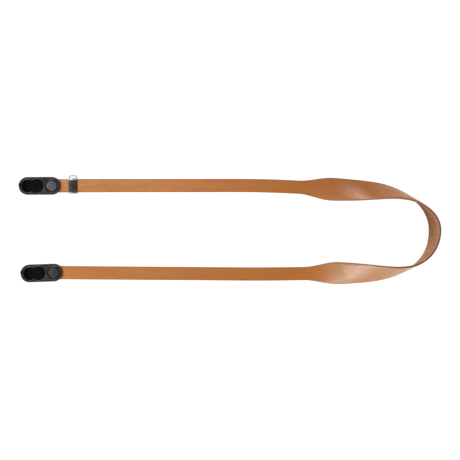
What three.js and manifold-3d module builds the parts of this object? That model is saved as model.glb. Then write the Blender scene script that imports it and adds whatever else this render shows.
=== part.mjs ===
// A leather camera neck strap. Its two legs lie flat side by side, and its wide shoulder
// part rises on edge round the bend. A quick-release connector is riveted to each end, and
// a metal keeper is clipped round the upper leg.
// Millimetres, +Z up. The strap lies on a level surface, +X points to the bend and +Y to
// the leg with the keeper.

import * as THREE from 'three';
import { mergeVertices } from 'three/addons/utils/BufferGeometryUtils.js';
import Module from 'manifold-3d';

const wasm = await Module();
wasm.setup();

// Leather
const reach = 405.9; // rivet of the upper leg to the crown of the bend
const legSpacing = 92.1; // between the rivets of the two legs
const legWidth = 14.2;
const shoulderWidth = 25;
const leatherThickness = 2;
const edgeRounding = 0.6;
const leatherTail = 6; // leather past the rivet, inside the connector
const settleLength = 74; // over which a leg sinks from the connector to the surface

// Connectors
const sideWall = 1.65; // of the housing beside the leather's slot
const tipWall = 2.9; // between the pocket's track and the tip
const webWall = 1.5; // between the leather's slot and the pocket
const roofThickness = 2.05; // over the leather, under the cap
const slotFloor = 3.25;
const rimRounding = 1.1;
const footRounding = 0.6;
const noseInset = 2.1; // how far the top stands back from the strap end
const noseDrop = 3; // height over which that end slopes
const pocketFloor = 3.6;
const lipThickness = 1.6;
const lipChamfer = 0.4;
const entryDiameter = 14.4;
const lockDiameter = 13.1;
const lockTravel = 9.1; // from the middle of the entry to the middle of the lock
const notchWidth = 3.2;
const notchDepth = 2.3;
const notchOffset = 1.4;
const slitWidth = 1.4; // of the gap through the lip from the notch to the lock
const lowerTurn = THREE.MathUtils.degToRad(3.1);

// Rivets
const capDiameter = 12;
const capSinkDepth = 1.6;
const capCrown = 0.3; // how far the cap's middle stands proud
const postDiameter = 4;
const socketFloor = 1.2;

// Keeper
const keeperFromHousing = 12.95;
const keeperFrameLength = 8.7; // along the strap
const keeperPlateLength = 9.4; // of the plate and of the bar below it
const wireWidth = 1;
const frameCorner = 1.8;
const keeperWindow = 2.75; // open stretch of the frame beside the leather
const plateThickness = 0.7;
const lipReach = 0.35; // of the bar over the leather

// Clearances
const runningGap = 0.3;
const slotRoom = 0.35; // over and under the leather
const slotSideRoom = 0.7;
const slotEndRoom = 1.2;
const boreGap = 0.35;
const leatherHoleGap = 0.4;
const capGap = 0.4;
const hookSideGap = 0.85;
const overshoot = 1; // of a cut past the face that it opens

// The lie of the strap. Along is a share of reach, across a share of legSpacing, lift a
// share of shoulderWidth that the lower edge stands off the surface, and tilt in degrees
// turns the grain side from up (0) to the outside of the bend (90) and past it.
const lie = [
  { along: 0.000, across: 0.000, lift: 0, tilt: 0 },
  { along: 0.200, across: -0.003, lift: 0, tilt: 0 },
  { along: 0.420, across: -0.004, lift: 0, tilt: 0 },
  { along: 0.520, across: -0.003, lift: 0, tilt: 0 },
  { along: 0.600, across: 0.006, lift: 0, tilt: 1 },
  { along: 0.670, across: 0.022, lift: 0, tilt: 5 },
  { along: 0.740, across: 0.041, lift: 0.01, tilt: 15 },
  { along: 0.800, across: 0.053, lift: 0.06, tilt: 30 },
  { along: 0.860, across: 0.068, lift: 0.12, tilt: 49 },
  { along: 0.910, across: 0.105, lift: 0.12, tilt: 70 },
  { along: 0.950, across: 0.175, lift: 0.07, tilt: 86 },
  { along: 0.981, across: 0.290, lift: 0.02, tilt: 100 },
  { along: 0.998, across: 0.430, lift: 0, tilt: 111 },
  { along: 0.999, across: 0.590, lift: 0, tilt: 112 },
  { along: 0.986, across: 0.755, lift: 0.01, tilt: 105 },
  { along: 0.955, across: 0.895, lift: 0.04, tilt: 92 },
  { along: 0.910, across: 0.972, lift: 0.07, tilt: 74 },
  { along: 0.855, across: 1.002, lift: 0.09, tilt: 52 },
  { along: 0.795, across: 1.006, lift: 0.06, tilt: 33 },
  { along: 0.740, across: 1.007, lift: 0.03, tilt: 18 },
  { along: 0.680, across: 1.011, lift: 0.01, tilt: 6 },
  { along: 0.610, across: 1.016, lift: 0, tilt: 1 },
  { along: 0.530, across: 1.018, lift: 0, tilt: 0 },
  { along: 0.420, across: 1.015, lift: 0, tilt: 0 },
  { along: 0.210, across: 1.008, lift: 0, tilt: 0 },
  { along: 0.005, across: 1.000, lift: 0, tilt: 0 },
];
// Where the width grows from leg to shoulder, as shares of reach on each leg.
const taper = { upperStart: 0.645, upperEnd: 0.735, lowerStart: 0.66, lowerEnd: 0.75 };

const slotHeight = leatherThickness + 2 * slotRoom;
const slotCentre = slotFloor + slotHeight / 2;
const capSeat = slotFloor + slotHeight + roofThickness;
const housingHeight = capSeat + capSinkDepth;
const housingWidth = legWidth + 2 * (slotSideRoom + sideWall);
const entryFromRivet = leatherTail + slotEndRoom + webWall + entryDiameter / 2;
const lockFromRivet = entryFromRivet + lockTravel;
const housingTip = lockFromRivet + entryDiameter / 2 + tipWall; // its distance from the rivet
const trackRoof = housingHeight - lipThickness;

// Helpers

// A value that eases from 0 at the start to 1 at the end.
function ease(value, start, end) {
  const share = THREE.MathUtils.clamp((value - start) / (end - start), 0, 1);
  return share * share * (3 - 2 * share);
}

// A curve through the values at the knots, with an even bend and straight past its ends.
function smoothCurve(knots, values) {
  const last = knots.length - 1;
  const bend = new Array(last + 1).fill(0);
  const carry = new Array(last + 1).fill(0);
  for (let i = 1; i < last; i += 1) {
    const before = knots[i] - knots[i - 1];
    const after = knots[i + 1] - knots[i];
    const turn = (values[i + 1] - values[i]) / after - (values[i] - values[i - 1]) / before;
    const share = before / (before + after);
    const pivot = share * carry[i - 1] + 2;
    carry[i] = (share - 1) / pivot;
    bend[i] = ((6 * turn) / (before + after) - share * bend[i - 1]) / pivot;
  }
  for (let i = last - 1; i > 0; i -= 1) {
    bend[i] += carry[i] * bend[i + 1];
  }
  const within = (at) => {
    let i = 0;
    while (i < last - 1 && at > knots[i + 1]) {
      i += 1;
    }
    const span = knots[i + 1] - knots[i];
    const b = (at - knots[i]) / span;
    const a = 1 - b;
    const arch = (a ** 3 - a) * bend[i] + (b ** 3 - b) * bend[i + 1];
    return a * values[i] + b * values[i + 1] + (arch * span * span) / 6;
  };
  return (at) => {
    const inside = THREE.MathUtils.clamp(at, knots[0], knots[last]);
    if (inside === at) {
      return within(at);
    }
    const nudge = at > inside ? -0.5 : 0.5;
    const slope = (within(inside + nudge) - within(inside)) / nudge;
    return within(inside) + slope * (at - inside);
  };
}

// A closed body through rings that hold the same number of points.
function loft(rings) {
  const count = rings[0].length;
  const positions = rings.flat().flatMap((point) => [point.x, point.y, point.z]);
  const faces = [];
  for (let ring = 0; ring + 1 < rings.length; ring += 1) {
    for (let i = 0; i < count; i += 1) {
      const a = ring * count + i;
      const b = ring * count + ((i + 1) % count);
      faces.push(a, b, b + count, a, b + count, a + count);
    }
  }
  const top = (rings.length - 1) * count;
  for (let i = 1; i + 1 < count; i += 1) {
    faces.push(0, i + 1, i);
    faces.push(top, top + i, top + i + 1);
  }
  const geometry = new THREE.BufferGeometry();
  geometry.setAttribute('position', new THREE.Float32BufferAttribute(positions, 3));
  geometry.setIndex(faces);
  return geometry;
}

function solid(geometry) {
  const bare = geometry.clone();
  bare.deleteAttribute('normal');
  bare.deleteAttribute('uv');
  const merged = mergeVertices(bare, 1e-4);
  return new wasm.Manifold(new wasm.Mesh({
    numProp: 3,
    vertProperties: new Float32Array(merged.attributes.position.array),
    triVerts: new Uint32Array(merged.index.array),
  }));
}

function geometryOf(body) {
  const mesh = body.getMesh();
  const geometry = new THREE.BufferGeometry();
  geometry.setAttribute('position', new THREE.Float32BufferAttribute(mesh.vertProperties, 3));
  geometry.setIndex([...mesh.triVerts]);
  return geometry;
}

// An upright cylinder or cone between two heights.
function upright(diameter, low, high, x = 0, y = 0, topDiameter = diameter) {
  const geometry = new THREE.CylinderGeometry(topDiameter / 2, diameter / 2, high - low, 48);
  geometry.rotateX(Math.PI / 2);
  geometry.translate(x, y, (low + high) / 2);
  return solid(geometry);
}

function block(size, centre) {
  const geometry = new THREE.BoxGeometry(size.x, size.y, size.z);
  geometry.translate(centre.x, centre.y, centre.z);
  return solid(geometry);
}

// A flat outline raised to a height.
function plate(shape, low, high) {
  const geometry = new THREE.ExtrudeGeometry(shape, {
    depth: high - low,
    bevelEnabled: false,
    curveSegments: 12,
  });
  geometry.translate(0, 0, low);
  return solid(geometry);
}

// An outline in the plane across the strap, drawn out along it.
function acrossSection(shape, length) {
  const geometry = new THREE.ExtrudeGeometry(shape, {
    depth: length,
    bevelEnabled: false,
    curveSegments: 8,
  });
  geometry.translate(0, 0, -length / 2);
  geometry.rotateY(Math.PI / 2);
  geometry.rotateX(Math.PI / 2);
  return solid(geometry);
}

function roundedRectangle(path, xLow, yLow, xHigh, yHigh, radius) {
  path.moveTo(xLow + radius, yLow);
  path.lineTo(xHigh - radius, yLow);
  path.absarc(xHigh - radius, yLow + radius, radius, -Math.PI / 2, 0, false);
  path.lineTo(xHigh, yHigh - radius);
  path.absarc(xHigh - radius, yHigh - radius, radius, 0, Math.PI / 2, false);
  path.lineTo(xLow + radius, yHigh);
  path.absarc(xLow + radius, yHigh - radius, radius, Math.PI / 2, Math.PI, false);
  path.lineTo(xLow, yLow + radius);
  path.absarc(xLow + radius, yLow + radius, radius, Math.PI, 1.5 * Math.PI, false);
  return path;
}

// Leather strap

const lieX = lie.map((row) => row.along * reach);
const lieY = lie.map((row) => legSpacing / 2 - row.across * legSpacing);
const knots = [0];
for (let i = 1; i < lie.length; i += 1) {
  knots.push(knots[i - 1] + Math.hypot(lieX[i] - lieX[i - 1], lieY[i] - lieY[i - 1]));
}
const runEnd = knots[knots.length - 1];
const routeX = smoothCurve(knots, lieX);
const routeY = smoothCurve(knots, lieY);
const routeLift = smoothCurve(knots, lie.map((row) => row.lift * shoulderWidth));
const routeTilt = smoothCurve(knots, lie.map((row) => THREE.MathUtils.degToRad(row.tilt)));

function strapWidth(run) {
  const share = routeX(run) / reach;
  const onUpperLeg = run < runEnd / 2;
  const start = onUpperLeg ? taper.upperStart : taper.lowerStart;
  const end = onUpperLeg ? taper.upperEnd : taper.lowerEnd;
  return legWidth + (shoulderWidth - legWidth) * ease(share, start, end);
}

// The middle of the leather at a distance along the strap from the upper rivet.
function strapCentre(run) {
  const tilt = Math.max(routeTilt(run), 0);
  const fromRivet = Math.min(Math.abs(run), Math.abs(runEnd - run));
  const straightEnd = housingWidth / 2 + runningGap;
  const settled = ease(fromRivet, straightEnd, straightEnd + settleLength);
  const height = Math.max(routeLift(run), 0)
    + (strapWidth(run) / 2 - edgeRounding) * Math.sin(tilt)
    + (leatherThickness / 2 - edgeRounding) * Math.abs(Math.cos(tilt))
    + edgeRounding
    + (slotCentre - leatherThickness / 2) * (1 - settled);
  return new THREE.Vector3(routeX(run), routeY(run), height);
}

// Directions along the strap, across it to its inner edge and out of its grain side.
function strapFrame(run) {
  const step = 0.25;
  const centre = strapCentre(run);
  const forward = strapCentre(run + step).sub(strapCentre(run - step)).normalize();
  const inward = new THREE.Vector3(forward.y, -forward.x, 0).normalize();
  const upward = new THREE.Vector3().crossVectors(forward, inward).multiplyScalar(-1);
  const tilt = Math.max(routeTilt(run), 0);
  const across = inward.clone().multiplyScalar(Math.cos(tilt));
  across.addScaledVector(upward, Math.sin(tilt));
  const grain = upward.clone().multiplyScalar(Math.cos(tilt));
  grain.addScaledVector(inward, -Math.sin(tilt));
  return { centre, forward, across, grain };
}

// The eight corners of the leather's section, its edges rounded.
function strapRing(run) {
  const { centre, across, grain } = strapFrame(run);
  const wide = strapWidth(run) / 2;
  const thick = leatherThickness / 2;
  const soft = edgeRounding;
  const corners = [
    [wide - soft, thick], [wide, thick - soft], [wide, soft - thick], [wide - soft, -thick],
    [soft - wide, -thick], [-wide, soft - thick], [-wide, thick - soft], [soft - wide, thick],
  ];
  return corners.map(([sideways, out]) => (
    centre.clone().addScaledVector(across, sideways).addScaledVector(grain, out)
  ));
}

function strapGeometry() {
  const steps = 190;
  const rings = [];
  for (let i = 0; i <= steps; i += 1) {
    const run = THREE.MathUtils.lerp(-leatherTail, runEnd + leatherTail, i / steps);
    rings.push(strapRing(run));
  }
  const hole = postDiameter + 2 * leatherHoleGap;
  const holes = [0, runEnd].map((run) => {
    const middle = strapCentre(run);
    return upright(hole, 0, housingHeight, middle.x, middle.y);
  });
  return geometryOf(solid(loft(rings)).subtract(holes[0]).subtract(holes[1]));
}

// Connector housing. Its own origin is on the rivet's axis at the surface, +X to the strap.

// The inset of a quarter round at a distance from its end, as a share of its radius.
function roundedInset(distance, radius) {
  const share = THREE.MathUtils.clamp(1 - distance / radius, 0, 1);
  return 1 - Math.sqrt(1 - share ** 2);
}

function housingRing(height) {
  const radius = housingWidth / 2;
  const straight = housingTip - radius;
  const fromTop = housingHeight - height;
  const inset = roundedInset(fromTop, rimRounding) * rimRounding
    + roundedInset(height, footRounding) * footRounding;
  const nose = roundedInset(fromTop, noseDrop) * (noseInset - rimRounding);
  const points = [];
  const steps = 24;
  for (let i = 0; i <= steps; i += 1) {
    const angle = THREE.MathUtils.lerp(-Math.PI / 2, Math.PI / 2, i / steps);
    const x = (radius - inset - nose) * Math.cos(angle);
    points.push(new THREE.Vector3(x, (radius - inset) * Math.sin(angle), height));
  }
  for (let i = 0; i <= steps; i += 1) {
    const angle = THREE.MathUtils.lerp(Math.PI / 2, 1.5 * Math.PI, i / steps);
    const x = (radius - inset) * Math.cos(angle) - straight;
    points.push(new THREE.Vector3(x, (radius - inset) * Math.sin(angle), height));
  }
  return points;
}

function housingLevels() {
  const levels = [0, 0.35, 1].map((share) => share * footRounding);
  const noseFoot = housingHeight - noseDrop;
  const rimFoot = housingHeight - rimRounding;
  levels.push(noseFoot, (noseFoot + rimFoot) / 2);
  return levels.concat([0, 0.35, 0.65, 0.88, 1].map((share) => rimFoot + share * rimRounding));
}

function figureEight(body) {
  const above = housingHeight + overshoot;
  const mouths = [
    { diameter: entryDiameter, x: -entryFromRivet, floor: pocketFloor },
    { diameter: lockDiameter, x: -lockFromRivet, floor: trackRoof - overshoot },
  ];
  return mouths.reduce((rest, { diameter, x, floor }) => {
    const wider = diameter + 2 * lipChamfer;
    const rim = housingHeight - lipChamfer;
    return rest
      .subtract(upright(diameter, floor, above, x))
      .subtract(upright(diameter, rim, housingHeight, x, 0, wider))
      .subtract(upright(wider, housingHeight, above, x));
  }, body);
}

// The track under the lip, in which the anchor slides from the entry to the lock.
function slideTrack() {
  const radius = entryDiameter / 2;
  const track = new THREE.Shape();
  track.absarc(-entryFromRivet, 0, radius, -Math.PI / 2, Math.PI / 2, false);
  track.absarc(-lockFromRivet, 0, radius, Math.PI / 2, 1.5 * Math.PI, false);
  return plate(track, pocketFloor, trackRoof);
}

// The way out for the anchor's cord: a notch in the tip down to the pocket's floor, a
// passage under the lip and a slit through it.
function cordNotch() {
  const outside = -housingTip - overshoot;
  const above = housingHeight + overshoot;
  const radius = notchWidth / 2;
  const roundCentre = notchDepth - housingTip - radius;
  const notch = new THREE.Shape();
  notch.moveTo(outside, notchOffset - radius);
  notch.absarc(roundCentre, notchOffset, radius, -Math.PI / 2, Math.PI / 2, false);
  notch.lineTo(outside, notchOffset + radius);
  const passageEnd = -lockFromRivet - entryDiameter / 4;
  const passage = block(
    new THREE.Vector3(passageEnd - outside, notchWidth, trackRoof - pocketFloor),
    new THREE.Vector3((passageEnd + outside) / 2, notchOffset, (trackRoof + pocketFloor) / 2),
  );
  const slitOffset = notchOffset - (notchWidth - slitWidth) / 2;
  const slit = block(
    new THREE.Vector3(passageEnd - roundCentre, slitWidth, above - pocketFloor),
    new THREE.Vector3((passageEnd + roundCentre) / 2, slitOffset, (above + pocketFloor) / 2),
  );
  return plate(notch, pocketFloor, above).add(passage).add(slit);
}

function housingGeometry() {
  const slotEnd = -(leatherTail + slotEndRoom);
  const slotMouth = housingWidth / 2 + overshoot;
  const slot = block(
    new THREE.Vector3(slotMouth - slotEnd, legWidth + 2 * slotSideRoom, slotHeight),
    new THREE.Vector3((slotMouth + slotEnd) / 2, 0, slotCentre),
  );
  const body = solid(loft(housingLevels().map(housingRing)))
    .subtract(slot)
    .subtract(slideTrack())
    .subtract(cordNotch())
    .subtract(upright(capDiameter + 2 * capGap, capSeat, housingHeight + overshoot))
    .subtract(upright(postDiameter + 2 * boreGap, socketFloor, capSeat + overshoot));
  return geometryOf(figureEight(body));
}

// Rivet: a domed cap over the housing and a post through the leather, in one piece.
function rivetGeometry() {
  const radius = capDiameter / 2;
  const capFoot = capSeat + runningGap;
  const edge = 0.35;
  const profile = [
    [0, socketFloor + runningGap], [postDiameter / 2 - edge, socketFloor + runningGap],
    [postDiameter / 2, socketFloor + runningGap + edge], [postDiameter / 2, capFoot],
    [radius - edge / 2, capFoot], [radius, capFoot + edge / 2],
    [radius, housingHeight - edge], [radius - edge, housingHeight],
  ].map(([x, y]) => new THREE.Vector2(x, y));
  const domeSteps = 4;
  for (let i = 1; i <= domeSteps; i += 1) {
    const share = i / domeSteps;
    const rise = capCrown * (1 - (1 - share) ** 2);
    profile.push(new THREE.Vector2((radius - edge) * (1 - share), housingHeight + rise));
  }
  const geometry = new THREE.LatheGeometry(profile, 40);
  geometry.rotateX(Math.PI / 2);
  return geometryOf(solid(geometry));
}

// Keeper. Its own origin is in the middle of the leather, +X along the strap, +Z out of the
// grain side and +Y to the outer edge of the leg.

const leatherSide = legWidth / 2;
const leatherFace = leatherThickness / 2;

function keeperFrameGeometry() {
  const top = -leatherFace - runningGap;
  const bottom = top - wireWidth;
  const barOut = -(leatherSide + runningGap + wireWidth);
  const farEnd = leatherSide + runningGap + keeperWindow + wireWidth;
  const outline = roundedRectangle(
    new THREE.Shape(), -keeperFrameLength / 2, barOut, keeperFrameLength / 2, farEnd, frameCorner,
  );
  outline.holes.push(roundedRectangle(
    new THREE.Path(), wireWidth - keeperFrameLength / 2, barOut + wireWidth,
    keeperFrameLength / 2 - wireWidth, farEnd - wireWidth, frameCorner - wireWidth,
  ));
  const wallIn = barOut + wireWidth;
  const lipEnd = -leatherSide + lipReach;
  const lipFoot = leatherFace + runningGap;
  const lipTop = lipFoot + plateThickness;
  const soft = plateThickness / 2;
  const bar = new THREE.Shape();
  bar.moveTo(barOut, bottom);
  bar.lineTo(wallIn, bottom);
  bar.lineTo(wallIn, lipFoot);
  bar.lineTo(lipEnd - soft, lipFoot);
  bar.absarc(lipEnd - soft, lipFoot + soft, soft, -Math.PI / 2, Math.PI / 2, false);
  bar.lineTo(barOut + soft, lipTop);
  bar.absarc(barOut + soft, lipTop - soft, soft, Math.PI / 2, Math.PI, false);
  return geometryOf(plate(outline, bottom, top).add(acrossSection(bar, keeperPlateLength)));
}

// The plate lies on the leather, rolls round its outer edge and hooks back beneath it.
function keeperPlateGeometry() {
  const inner = leatherFace + runningGap;
  const outer = inner + plateThickness;
  const rollCentre = leatherSide + runningGap - inner;
  const lowEnd = -leatherSide + lipReach + runningGap;
  const soft = plateThickness / 2;
  const cover = new THREE.Shape();
  cover.moveTo(rollCentre + inner, 0);
  cover.lineTo(rollCentre + outer, 0);
  cover.absarc(rollCentre, 0, outer, 0, Math.PI / 2, false);
  cover.lineTo(lowEnd + soft, outer);
  cover.absarc(lowEnd + soft, inner + soft, soft, Math.PI / 2, 1.5 * Math.PI, false);
  cover.lineTo(rollCentre, inner);
  cover.absarc(rollCentre, 0, inner, Math.PI / 2, 0, true);
  const hookEnd = rollCentre - 2 * inner;
  const hookLength = keeperFrameLength - 2 * (wireWidth + hookSideGap);
  const overlap = plateThickness / 7;
  const hook = new THREE.Shape();
  hook.moveTo(rollCentre + inner, overlap);
  hook.absarc(rollCentre, 0, inner, 0, -Math.PI / 2, true);
  hook.lineTo(hookEnd, -inner);
  hook.lineTo(hookEnd, -outer);
  hook.lineTo(rollCentre, -outer);
  hook.absarc(rollCentre, 0, outer, -Math.PI / 2, 0, false);
  hook.lineTo(rollCentre + outer, overlap);
  const wide = acrossSection(cover, keeperPlateLength);
  return geometryOf(wide.add(acrossSection(hook, hookLength)));
}

// Assembly

const looks = {
  leather: { color: 0xb4733f, roughness: 0.55, metalness: 0 },
  housing: { color: 0x2e2f30, roughness: 0.6, metalness: 0 },
  upperCap: { color: 0x5b5a5f, roughness: 0.35, metalness: 0.8 },
  lowerCap: { color: 0x3c3c3c, roughness: 0.4, metalness: 0.8 },
  wire: { color: 0xc4c4c4, roughness: 0.25, metalness: 1 },
  plate: { color: 0x3a3c3c, roughness: 0.3, metalness: 0.9 },
};

function piece(name, geometry, look) {
  geometry.computeVertexNormals();
  const mesh = new THREE.Mesh(geometry, new THREE.MeshStandardMaterial(look));
  mesh.name = name;
  return mesh;
}

// A connector on its leg, turned about its rivet. Outward is 1 where the strap leaves it
// towards the bend and -1 where the strap comes back to it.
function connector(side, run, outward, turn, capLook) {
  const { centre, forward } = strapFrame(run);
  const heading = Math.atan2(outward * forward.y, outward * forward.x);
  const group = new THREE.Group();
  group.position.set(centre.x, centre.y, 0);
  group.rotation.z = heading + turn;
  group.add(piece(`housing_${side}`, housingGeometry(), looks.housing));
  group.add(piece(`cap_${side}`, rivetGeometry(), capLook));
  return group;
}

function keeper() {
  const run = housingWidth / 2 + keeperFromHousing;
  const { centre, forward, across, grain } = strapFrame(run);
  const group = new THREE.Group();
  const outer = across.clone().multiplyScalar(-1);
  group.quaternion.setFromRotationMatrix(new THREE.Matrix4().makeBasis(forward, outer, grain));
  group.position.copy(centre);
  group.add(piece('keeper_frame', keeperFrameGeometry(), looks.wire));
  group.add(piece('keeper_plate', keeperPlateGeometry(), looks.plate));
  return group;
}

const neckStrap = new THREE.Group();
neckStrap.add(piece('strap', strapGeometry(), looks.leather));
neckStrap.add(connector('upper', 0, 1, 0, looks.upperCap));
neckStrap.add(connector('lower', runEnd, -1, lowerTurn, looks.lowerCap));
neckStrap.add(keeper());

// The origin is under the middle of the whole, on the surface.
const box = new THREE.Box3().setFromObject(neckStrap);
const middle = box.getCenter(new THREE.Vector3());
neckStrap.position.set(-middle.x, -middle.y, -box.min.z);

const camera_neck_strap = new THREE.Group();
camera_neck_strap.add(neckStrap);
export default camera_neck_strap;
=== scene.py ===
import math

import bmesh
import bpy
import numpy as np
from mathutils import Matrix, Vector


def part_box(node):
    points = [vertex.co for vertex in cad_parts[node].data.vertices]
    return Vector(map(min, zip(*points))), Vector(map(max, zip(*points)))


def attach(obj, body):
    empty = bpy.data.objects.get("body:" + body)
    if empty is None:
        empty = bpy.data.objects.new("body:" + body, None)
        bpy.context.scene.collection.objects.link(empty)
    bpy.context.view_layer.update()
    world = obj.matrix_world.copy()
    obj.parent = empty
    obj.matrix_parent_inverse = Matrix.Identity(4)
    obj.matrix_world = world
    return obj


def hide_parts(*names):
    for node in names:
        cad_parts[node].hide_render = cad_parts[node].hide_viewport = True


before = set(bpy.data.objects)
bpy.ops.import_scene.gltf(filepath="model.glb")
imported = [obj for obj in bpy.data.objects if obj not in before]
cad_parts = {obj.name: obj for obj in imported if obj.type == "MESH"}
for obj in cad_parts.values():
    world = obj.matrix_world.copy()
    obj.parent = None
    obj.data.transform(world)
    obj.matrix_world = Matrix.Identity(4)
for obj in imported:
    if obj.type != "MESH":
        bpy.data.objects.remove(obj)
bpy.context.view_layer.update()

mm = 0.001
seamSpeck = 0.003 * mm
print("frame loaded:", len(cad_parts), "nodes")


studio = {
    "cameraHeight": 2.2,
    "cameraLens": 161.8,
    "cameraFromRivet": (189.1 * mm, -46.9 * mm),  # across the floor, from the upper rivet
    "floorSize": 8.0,
    "floorColour": (0.5, 0.5, 0.5),
    "floorGlow": 0.74,  # a light table under pale paper, so that shadows hardly show
    "skyColour": (1.0, 0.995, 0.99),
    "skyStrength": 0.30,
}

# name, place, aimed at, width, height, brightness of its face
softboxes = [
    ("lightLeft", (-0.78, 0.15, 0.94), (0.0, 0.0, 0.0), 0.7, 0.7, 3.7),
    ("lightNear", (-0.18, -1.02, 0.46), (0.12, -0.04, 0.0), 0.64, 0.62, 8.9),
    ("lightFar", (-0.36, 0.95, 0.61), (0.13, 0.03, 0.0), 0.40, 0.28, 15.0),
    ("lightRight", (1.05, -0.35, 0.95), (0.0, 0.0, 0.0), 0.7, 0.6, 1.8),
]


def boxCentre(node):
    low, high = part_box(node)
    return (Vector(low) + Vector(high)) / 2


def makeCamera():
    data = bpy.data.cameras.new("camera")
    data.sensor_width = 36
    data.lens = studio["cameraLens"]
    data.clip_end = 20
    camera = bpy.data.objects.new("camera", data)
    sideways, down = studio["cameraFromRivet"]
    rivetSpot = boxCentre("cap_upper")
    camera.location = (rivetSpot.x + sideways, rivetSpot.y + down, studio["cameraHeight"])
    bpy.context.collection.objects.link(camera)
    bpy.context.scene.camera = camera


def makeFloor():
    bm = bmesh.new()
    bmesh.ops.create_grid(bm, x_segments=1, y_segments=1, size=studio["floorSize"] / 2)
    floor = pieceFrom(bm, "floor")
    floor.data.materials.append(floorMaterial())


def makeLights():
    world = bpy.data.worlds.new("studio")
    world.use_nodes = True
    background = world.node_tree.nodes["Background"]
    background.inputs["Color"].default_value = (*studio["skyColour"], 1)
    background.inputs["Strength"].default_value = studio["skyStrength"]
    bpy.context.scene.world = world
    bpy.context.scene.view_settings.view_transform = "Standard"
    for name, place, target, width, height, brightness in softboxes:
        data = bpy.data.lights.new(name, "AREA")
        data.shape = "RECTANGLE"
        data.size = width
        data.size_y = height
        data.energy = brightness * math.pi * width * height
        light = bpy.data.objects.new(name, data)
        light.location = place
        away = Vector(place) - Vector(target)
        light.rotation_euler = away.to_track_quat("Z", "Y").to_euler()
        bpy.context.collection.objects.link(light)


# Turns a bmesh into an object at the origin.
def pieceFrom(bm, name, place=None):
    if place is not None:
        bmesh.ops.transform(bm, matrix=place, verts=bm.verts)
    mesh = bpy.data.meshes.new(name)
    bm.to_mesh(mesh)
    bm.free()
    piece = bpy.data.objects.new(name, mesh)
    bpy.context.collection.objects.link(piece)
    return piece


def shadeByAngle(piece, degrees=32):
    bm = bmesh.new()
    bm.from_mesh(piece.data)
    limit = math.radians(degrees)
    for face in bm.faces:
        face.smooth = True
    for edge in bm.edges:
        edge.smooth = len(edge.link_faces) == 2 and edge.calc_face_angle(0) < limit
    bm.to_mesh(piece.data)
    bm.free()


# Merges the specks that a boolean leaves along its seams and closes what they open.
def mendSeams(piece):
    bm = bmesh.new()
    bm.from_mesh(piece.data)
    bmesh.ops.remove_doubles(bm, verts=bm.verts, dist=seamSpeck)
    bmesh.ops.dissolve_degenerate(bm, edges=bm.edges, dist=seamSpeck)
    closeRings(bm)
    bm.to_mesh(piece.data)
    bm.free()


# Applies the others to the piece as booleans and deletes them.
def applyBooleans(piece, others, operation):
    for other in others:
        step = piece.modifiers.new(other.name, "BOOLEAN")
        step.operation = operation
        step.solver = "EXACT"
        step.object = other
    graph = bpy.context.evaluated_depsgraph_get()
    finished = bpy.data.meshes.new_from_object(piece.evaluated_get(graph))
    piece.modifiers.clear()
    piece.data = finished
    mendSeams(piece)
    for other in others:
        bpy.data.objects.remove(other)


def cutAway(piece, cutters):
    applyBooleans(piece, cutters, "DIFFERENCE")


def joinInto(piece, other):
    applyBooleans(piece, [other], "UNION")


# A solid of revolution about the upright axis at x, from (radius, height) points.
def spinProfile(bm, profile, steps=96, x=0.0):
    verts = [bm.verts.new((radius, 0, height)) for radius, height in profile]
    edges = [bm.edges.new(pair) for pair in zip(verts, verts[1:])]
    bmesh.ops.spin(bm, geom=verts + edges, cent=(0, 0, 0), axis=(0, 0, 1), dvec=(0, 0, 0),
                   angle=math.tau, steps=steps, use_merge=True)
    bmesh.ops.remove_doubles(bm, verts=bm.verts, dist=1e-7)
    bmesh.ops.translate(bm, vec=(x, 0, 0), verts=bm.verts)
    bmesh.ops.recalc_face_normals(bm, faces=bm.faces)


# Points on an arc from one angle to another, in degrees.
def quarterRound(centreX, centreZ, radius, start, end, steps=6):
    angles = [math.radians(start + (end - start) * i / steps) for i in range(steps + 1)]
    return [(centreX + radius * math.cos(a), centreZ + radius * math.sin(a)) for a in angles]


# A pill shape whose strap end is centred on the origin, drawn up through levels of
# (height, end radius, nose length).
def raisePill(bm, straight, levels, segments=96):
    height, radius, nose = levels[0]
    halfStep = Matrix.Rotation(math.pi / segments, 4, "Z")
    ring = bmesh.ops.create_circle(bm, segments=segments, radius=radius, matrix=halfStep)["verts"]
    bmesh.ops.translate(bm, vec=(0, 0, height), verts=ring)
    bmesh.ops.translate(bm, vec=(-straight, 0, 0), verts=[v for v in ring if v.co.x < 0])
    edges = list(bm.edges)
    for nextHeight, nextRadius, nextNose in levels[1:]:
        made = bmesh.ops.extrude_edge_only(bm, edges=edges)["geom"]
        verts = [g for g in made if isinstance(g, bmesh.types.BMVert)]
        edges = [g for g in made if isinstance(g, bmesh.types.BMEdge)
                 and all(v in verts for v in g.verts)]
        strapEnd = [v for v in verts if v.co.x > -straight / 2]
        tipEnd = [v for v in verts if v.co.x <= -straight / 2]
        wide = nextRadius / radius
        bmesh.ops.scale(bm, vec=(nextNose / nose, wide, 1), verts=strapEnd)
        bmesh.ops.scale(bm, vec=(wide, wide, 1), verts=tipEnd,
                        space=Matrix.Translation((straight, 0, 0)))
        bmesh.ops.translate(bm, vec=(0, 0, nextHeight - height), verts=verts)
        height, radius, nose = nextHeight, nextRadius, nextNose
    closeRings(bm)


def closeRings(bm):
    rims = [e for e in bm.edges if len(e.link_faces) == 1]
    bmesh.ops.holes_fill(bm, edges=rims, sides=0)
    bmesh.ops.recalc_face_normals(bm, faces=bm.faces)


def startMaterial(name):
    material = bpy.data.materials.new(name)
    material.use_nodes = True
    return material, material.node_tree, material.node_tree.nodes["Principled BSDF"]


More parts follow.
